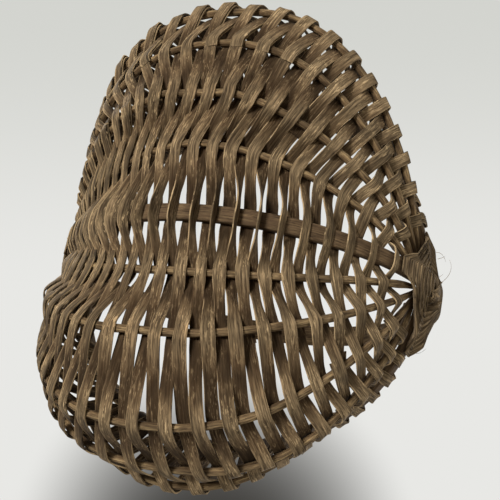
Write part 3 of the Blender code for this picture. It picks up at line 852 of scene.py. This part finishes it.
lashingLook = {
    "turns": 8, "first": 8.5, "pitch": {"bottom": 3.9, "front": 4.3, "top": 3.6, "back": 3.4},
    "overlap": 1.4, "step": 1.1, "hug": 0.2, "lap": 1.25, "cup": 0.1,
    "widthWander": 0.06, "toneWander": 0.14, "steepest": 0.6,
    "widthEvery": 8, "toneEvery": 10, "edgeEvery": 5,   # in samples along the splint
    "gap": 0.8, "gapGrowth": 0.05, "crossGap": 0.2,     # how clear it stays of what it passes over
    "columns": (-0.5, -0.44, -0.1, 0.12, 0.24, 0.5),
    "shown": (0.8, 0.8, 0.8, 0.7, 0.1, 0.0),            # the tucked side is darker, a painted shade under the turn that laps it
}


# Centre, direction and outward way of an arm at this distance from the crossing
def lashingArm(kind, side, s):
    if kind in ("front", "back"):
        line = rimLine(-1 if kind == "front" else 1)
        away = np.abs(line[:, 1])
    else:
        line = handleLine() if kind == "top" else bandLine()
        away = np.abs(line[:, 2] - shape["earHeight"])
    half = len(line) // 2
    spot = np.array([np.interp(s, away[:half], line[:half, c]) for c in range(3)])
    nearer = np.array([np.interp(max(s - 1, 0.0), away[:half], line[:half, c]) for c in range(3)])
    onward = unit(spot - nearer)
    if kind in ("front", "back"):
        normal = np.array([abs(onward[1]), -onward[0] * np.sign(onward[1]), 0.0])
    else:
        normal = np.array([abs(onward[2]), 0.0, -onward[0] * np.sign(onward[2])])
    mirror = np.array([side, 1.0, 1.0])
    return spot * mirror, onward * mirror, unit(normal) * mirror


def armHalf(kind, s):
    if kind in ("front", "back"):
        return shape["rimTall"] / 2, shape["rimThick"] / 2
    rise = min(s / shape["handleRise"], 1.0) if kind == "top" else 0.0
    return handleWideAt(rise) / 2, shape["handleThick"] / 2


def rodSide(i, reach):
    return atLength(lines[i], runs[i], lengthWhereOut(lines[i], runs[i], reach))[0]


def lashingPath(side):
    order = ("bottom", "front", "top", "back")
    lean = {"bottom": -up, "front": -across, "top": up, "back": across}
    clear = weave["clearance"] + weave["thick"] / 2
    look = lashingLook
    first, pitch = look["first"], look["pitch"]
    points = []
    for q in range(look["turns"] * 4 + 5):
        kind, following = order[q % 4], order[(q + 1) % 4]
        s = first + pitch[kind] * q / 4
        sNext = first + pitch[following] * (q + 1) / 4
        spot, _, normal = lashingArm(kind, side, s)
        nextSpot = lashingArm(following, side, sNext)[0]
        came, goes = lean[order[(q - 1) % 4]], lean[following]
        half, thick = armHalf(kind, s)
        halfNext = armHalf(following, sNext)[0]
        face = spot + normal * (thick + clear)
        points += [face + came * half, face + goes * half]
        for share in (0.25, 0.5, 0.75):
            turn = share * math.pi / 2
            along = halfNext + (s - halfNext) * math.cos(turn) ** 2
            beside = half + (sNext - half) * math.sin(turn) ** 2
            flat = lean[kind] * along + goes * beside
            reach = math.hypot(along, beside)
            chord = abs(spot[0]) * (1 - share) + abs(nextSpot[0]) * share + thick + clear
            need = max(rodSide(i, reach) for i in range(1, 12) if i != 6) + rods["radius"] + clear
            inner = reach < shape["bandWide"] + 1
            level = shape["hoopHalfSpan"] + thick + clear + look["crossGap"] if inner else 0.0
            x = side * max(chord + look["gap"], need + look["gap"] + look["gapGrowth"] * reach, level)
            points.append(np.array([x, 0.0, shape["earHeight"]]) + flat)
    return points


# The splint starts as a cross over the place where the hoops meet
crossLook = {
    "half": 10.0, "wide": 7.4, "bulge": 0.25, "dip": 2.6, "dipFrom": 4.2, "dipPower": 1.4,
    # The cross is darkened by its tone and its low shown value: painted shade in the hollow where the hoops
    # cross
    "samples": 21, "columns": 6, "toneAndShade": 0.72, "shown": 0.4,
}


def layEarCross(side, name):
    look = crossLook
    outer = max(abs(lashingArm(kind, side, 0.0)[0][0]) + armHalf(kind, 0.0)[1]
                for kind in ("top", "front"))
    level = outer + weave["clearance"] + weave["thick"] / 2
    d = np.linspace(-look["half"], look["half"], look["samples"])
    under = np.clip((np.abs(d) - look["dipFrom"]) / (look["half"] - look["dipFrom"]), 0, 1)
    fall = look["dip"] * under ** look["dipPower"]      # both ends go under the first turn
    reach = np.ones((len(d), 1)) * np.linspace(-0.5, 0.5, look["columns"])[None, :] * look["wide"]
    ones = np.ones(reach.shape)
    made = []
    for number, slope in enumerate((-1, 1)):
        points = (up * shape["earHeight"] + d[:, None, None] * unit(up + slope * across)
                  + reach[..., None] * unit(across - slope * up))
        bulge = look["bulge"] * (1 - (reach / look["wide"] * 2) ** 2)
        points[..., 0] = side * (level + number * weave["thick"] - fall[:, None] + bulge)
        made.append(layGrid(f"{name}Cross{number}", points, d, reach,
                            {"wearAndShade": look["shown"] * ones, "toneAndShade": look["toneAndShade"] * ones, "edge": 0 * ones}))
        thicken(made[-1])
        closeTube()
    return made


# Every turn laps over the one inside it, like shingles
def makeLashing(side, name, node):
    look = lashingLook
    path = lashingPath(side)
    perArm = 5                                          # two points on it and three on the way to the next
    perTurn = 4 * perArm
    bends = []
    for n in range(look["turns"] * perTurn + 2):
        beside = path[n + perTurn] - path[n]
        if n % perArm > 1:
            along = unit(path[n + 1] - path[n - 1])
            beside = beside - along * np.dot(beside, along)
        reach = np.linalg.norm(beside)
        bends.append(bendOf(path[n], beside / reach, look["overlap"] * reach, 0.5))
    spots, sides, widths = smoothPath(bends, look["step"], look["hug"])[:3]
    count = len(spots)
    run = lengths(spots)
    forward = unitRows(np.gradient(spots, axis=0))
    sides = unitRows(sides)
    face = unitRows(np.cross(forward, sides))
    outwards = np.where((face[:, :1] * side) < 0, -face, face)
    rise = np.clip(look["lap"] * weave["thick"] * look["overlap"] / widths, 0, look["steepest"])
    turn = np.arcsin(rise)[:, None]
    sides = sides * np.cos(turn) + outwards * np.sin(turn)
    face = np.cross(forward, sides)
    columns = np.array(look["columns"])
    widths = widths * (1 + smoothNoise(1300, count, count // look["widthEvery"], look["widthWander"]))
    reach = columns[None, :] * widths[:, None]
    lift = look["cup"] * (1 - 4 * columns[None, :] ** 2) * np.ones((count, 1))
    points = spots[:, None] + sides[:, None] * reach[..., None] + face[:, None] * lift[..., None]
    toneAndShade = 1 + smoothNoise(1310, count, count // look["toneEvery"], look["toneWander"])[:, None] + 0 * reach
    rubbedEdge = np.clip(smoothNoise(1320, count, count // look["edgeEvery"]) + 0.5, 0, 1)
    edge = (np.abs(columns) > 0.49)[None, :] * rubbedEdge[:, None]
    piece = layGrid(name, points, run, reach,
                    {"wearAndShade": np.array(look["shown"]) + 0 * reach, "toneAndShade": toneAndShade, "edge": edge})
    thicken(piece)
    closeTube()
    joinPieces([piece] + layEarCross(side, name), name)
    finishPiece(piece, lashingOak, "oak_lashing", node)


makeLashing(-1, "leftEarLashing", "ear_lashing_left")
makeLashing(1, "rightEarLashing", "ear_lashing_right")
print("ears lashed")


# Loose fibres that stand off the ears where the splint has split

looseFibreLook = {"thick": 0.16, "taper": 0.6, "sides": 5, "samples": 14, "shown": 0.5, "fibres": (
    {"from": (-130.5, 22.0, 121.5), "to": (-136.5, 17.5, 126.0), "bow": (-0.5, 1.5, -1.5)},
    {"from": (-131.5, 18.5, 123.5), "to": (-136.0, 20.5, 123.0), "bow": (-1.0, 0.5, 1.0)},
    {"from": (-131.5, 5.0, 134.5), "to": (-138.5, 19.5, 126.5), "bow": (-4.0, -0.5, -0.5)},
    {"from": (-131.5, 7.5, 129.5), "to": (-135.5, 9.5, 126.5), "bow": (-0.5, 0.5, 0.5)},
    {"from": (-117.5, -36.5, 140.0), "to": (-127.0, -35.5, 143.5), "bow": (0.5, -3.5, 1.0)},
    {"from": (131.0, 14.0, 125.5), "to": (139.0, 21.5, 120.5), "bow": (0.5, 1.5, 0.5)},
    {"from": (131.0, 8.0, 127.5), "to": (136.5, 17.5, 121.5), "bow": (1.5, 0.5, 0.5)},
)}


def makeLooseFibres():
    look = looseFibreLook
    made = []
    for number, fibre in enumerate(look["fibres"]):
        start, goal = np.array(fibre["from"]), np.array(fibre["to"])
        t = np.linspace(0, 1, look["samples"])[:, None]
        path = start * (1 - t) + goal * t + np.array(fibre["bow"]) * 4 * t * (1 - t)
        forward = unitRows(np.gradient(path, axis=0))
        first = unitRows(np.cross(forward, up))
        second = np.cross(forward, first)
        angles = np.linspace(0, 2 * math.pi, look["sides"] + 1)
        ring = look["thick"] * (1 - look["taper"] * t) * np.ones(angles.shape)
        points = ringPoints(path, first, second, ring, angles)
        ones = np.ones(ring.shape)
        made.append(layGrid(f"looseFibre{number}", points, lengths(path), ring * angles,
                            {"wearAndShade": look["shown"] * ones, "toneAndShade": ones, "edge": 0 * ones}))
        closeTube()
    joinPieces(made, "looseFibres")
    finishPiece(made[0], lashingOak, "oak_lashing")


makeLooseFibres()
print("loose fibres added")


# Floor, background, lights and camera

studio = {
    "paper": "#dcddd9", "paperRoughness": 0.9, "floorSize": 60.0, "fadeFrom": 0.5, "fadeTo": 2.6,
    "air": 0.50, "airColour": (1.0, 0.985, 0.96, 1.0),
    "skyHigh": "#d3d4cf", "skyMiddle": "#e8e8e5", "skyShade": "#3f3d3a",   # as a camera sees the background
    "shadeCentre": (215, 560), "shadeReach": 215,                          # soft shade low in the picture
    "paleBelow": 300,                                                      # greyer from here to its top
    "greyerAbove": (0.15, 0.5),                                            # and only this steeply upwards
}
photographCamera = {
    "place": (-0.25396, -0.21445, -0.46416), "right": (-0.9278, 0.1794, 0.3271),
    "down": (-0.0443, -0.9236, 0.3808), "forward": (0.3704, 0.3389, 0.8648),
    "focal": 988.6, "frame": 500, "sensor": 36.0,
}
softboxes = {
    "keySoftbox": {"place": (0.12, 0.08, -1.08), "aim": (0.0, 0.0, 0.10), "size": 0.28, "power": 17.0},
    "topSoftbox": {"place": (-0.3, 0.0, 1.4), "aim": (0.0, 0.0, 0.12), "size": 1.2, "power": 11.0},
    "sideSoftbox": {"place": (1.0, 0.8, 0.8), "aim": (0.0, 0.0, 0.10), "size": 0.8, "power": 12.0},
}


# The floor is seen from above and lets the camera and the light through from below
def makeFloor():
    dropSelection()
    bpy.ops.mesh.primitive_plane_add(size=studio["floorSize"], location=(0, 0, 0))
    floor = bpy.context.object
    floor.name = "paperFloor"
    floor.visible_shadow = False
    material = bpy.data.materials.new("palePaper")
    material.use_nodes = True
    tree = material.node_tree
    shader = tree.nodes["Principled BSDF"]
    shader.inputs["Base Color"].default_value = linear(studio["paper"])
    shader.inputs["Roughness"].default_value = studio["paperRoughness"]
    below = addNode(tree, "ShaderNodeNewGeometry")
    clear = addNode(tree, "ShaderNodeBsdfTransparent")
    sheet = addNode(tree, "ShaderNodeMixShader", links={0: (below, "Backfacing")})
    spot = addNode(tree, "ShaderNodeTexCoord")
    away = addNode(tree, "ShaderNodeVectorMath", links={0: (spot, "Object")}, operation="LENGTH")
    far = addNode(tree, "ShaderNodeMapRange",
                  {"From Min": studio["fadeFrom"], "From Max": studio["fadeTo"]},
                  {"Value": (away, "Value")}, interpolation_type="SMOOTHSTEP")
    rays = addNode(tree, "ShaderNodeLightPath")
    seen = addNode(tree, "ShaderNodeMath", links={0: (far, "Result"), 1: (rays, "Is Camera Ray")},
                   operation="MULTIPLY")
    backdrop = addNode(tree, "ShaderNodeEmission", {"Color": linear(studio["skyMiddle"]), "Strength": 1.0})
    sweep = addNode(tree, "ShaderNodeMixShader", links={0: (seen, "Value")})      # up into the backdrop
    tree.links.new(shader.outputs["BSDF"], sweep.inputs[1])
    tree.links.new(backdrop.outputs["Emission"], sweep.inputs[2])
    tree.links.new(sweep.outputs["Shader"], sheet.inputs[1])
    tree.links.new(clear.outputs["BSDF"], sheet.inputs[2])
    tree.links.new(sheet.outputs["Shader"], tree.nodes["Material Output"].inputs["Surface"])
    floor.data.materials.append(material)


# World direction in which the photograph's camera sees a place in its 500 x 500 frame
def wayTo(u, v):
    view = photographCamera
    x, y = (u - view["frame"] / 2) / view["focal"], (v - view["frame"] / 2) / view["focal"]
    way = np.array(view["right"]) * x + np.array(view["down"]) * y + np.array(view["forward"])
    return unit(way)


def makeWorld():
    world = bpy.data.worlds.new("studioAir")
    bpy.context.scene.world = world
    world.use_nodes = True
    tree = world.node_tree
    air = tree.nodes["Background"]
    air.inputs["Color"].default_value = studio["airColour"]
    air.inputs["Strength"].default_value = studio["air"]
    way = addNode(tree, "ShaderNodeTexCoord")
    u, v = studio["shadeCentre"]
    centre, rim = wayTo(u, v), wayTo(u + studio["shadeReach"], v)
    near = addNode(tree, "ShaderNodeVectorMath", {1: tuple(centre)}, {0: (way, "Generated")},
                   operation="DOT_PRODUCT")
    shade = addNode(tree, "ShaderNodeMapRange", {"From Min": float(np.dot(centre, rim)), "From Max": 1.0},
                    {"Value": (near, "Value")}, interpolation_type="SMOOTHSTEP")
    middle = photographCamera["frame"] / 2
    low, high = wayTo(middle, studio["paleBelow"]), wayTo(middle, 0)
    fall = unit(high - low)
    rise = addNode(tree, "ShaderNodeVectorMath", {1: tuple(fall)}, {0: (way, "Generated")},
                   operation="DOT_PRODUCT")
    lift = addNode(tree, "ShaderNodeMapRange",
                   {"From Min": float(np.dot(fall, low)), "From Max": float(np.dot(fall, high))},
                   {"Value": (rise, "Value")}, interpolation_type="SMOOTHSTEP")
    parts = addNode(tree, "ShaderNodeSeparateXYZ", links={"Vector": (way, "Generated")})
    gentle, steep = studio["greyerAbove"]
    above = addNode(tree, "ShaderNodeMapRange", {"From Min": gentle, "From Max": steep},
                    {"Value": (parts, "Z")})
    grey = addNode(tree, "ShaderNodeMath", links={0: (lift, "Result"), 1: (above, "Result")},
                   operation="MULTIPLY")
    paper = addNode(tree, "ShaderNodeMix",
                    {"A": linear(studio["skyMiddle"]), "B": linear(studio["skyHigh"])},
                    {"Factor": (grey, "Value")}, data_type="RGBA")
    tint = addNode(tree, "ShaderNodeMix", {"B": linear(studio["skyShade"])},
                   {"Factor": (shade, "Result"), "A": (paper, "Result")}, data_type="RGBA")
    rays = addNode(tree, "ShaderNodeLightPath")
    seen = addNode(tree, "ShaderNodeMath", links={0: (rays, "Is Camera Ray"), 1: (rays, "Is Glossy Ray")},
                   operation="MAXIMUM")
    seen = addNode(tree, "ShaderNodeMath", links={0: (seen, "Value"), 1: (rays, "Is Transmission Ray")},
                   operation="MAXIMUM")
    sky = addNode(tree, "ShaderNodeBackground", {"Strength": 1.0}, {"Color": (tint, "Result")})
    mix = addNode(tree, "ShaderNodeMixShader", links={0: (seen, "Value")})
    tree.links.new(air.outputs["Background"], mix.inputs[1])
    tree.links.new(sky.outputs["Background"], mix.inputs[2])
    tree.links.new(mix.outputs["Shader"], tree.nodes["World Output"].inputs["Surface"])


def addSoftbox(name, place, aim, size, power):
    dropSelection()
    turn = (Vector(aim) - Vector(place)).to_track_quat("-Z", "Y").to_euler()
    bpy.ops.object.light_add(type="AREA", location=place, rotation=turn)
    lamp = bpy.context.object
    lamp.name = name
    lamp.data.shape = "DISK"
    lamp.data.size = size
    lamp.data.energy = power


def makeCamera():
    view = photographCamera
    right, down, forward = (Vector(view[word]) for word in ("right", "down", "forward"))
    dropSelection()
    bpy.ops.object.camera_add(location=view["place"],
                              rotation=Matrix((right, -down, -forward)).transposed().to_euler())
    camera = bpy.context.object
    camera.name = "photographCamera"
    camera.data.sensor_width = view["sensor"]
    camera.data.lens = view["focal"] / view["frame"] * view["sensor"]
    camera.data.clip_start = 0.01
    bpy.context.scene.camera = camera


makeFloor()
makeWorld()
for name, softbox in softboxes.items():
    addSoftbox(name, **softbox)
makeCamera()
bpy.context.scene.view_settings.view_transform = "Standard"
print("studio ready")

dropSelection()
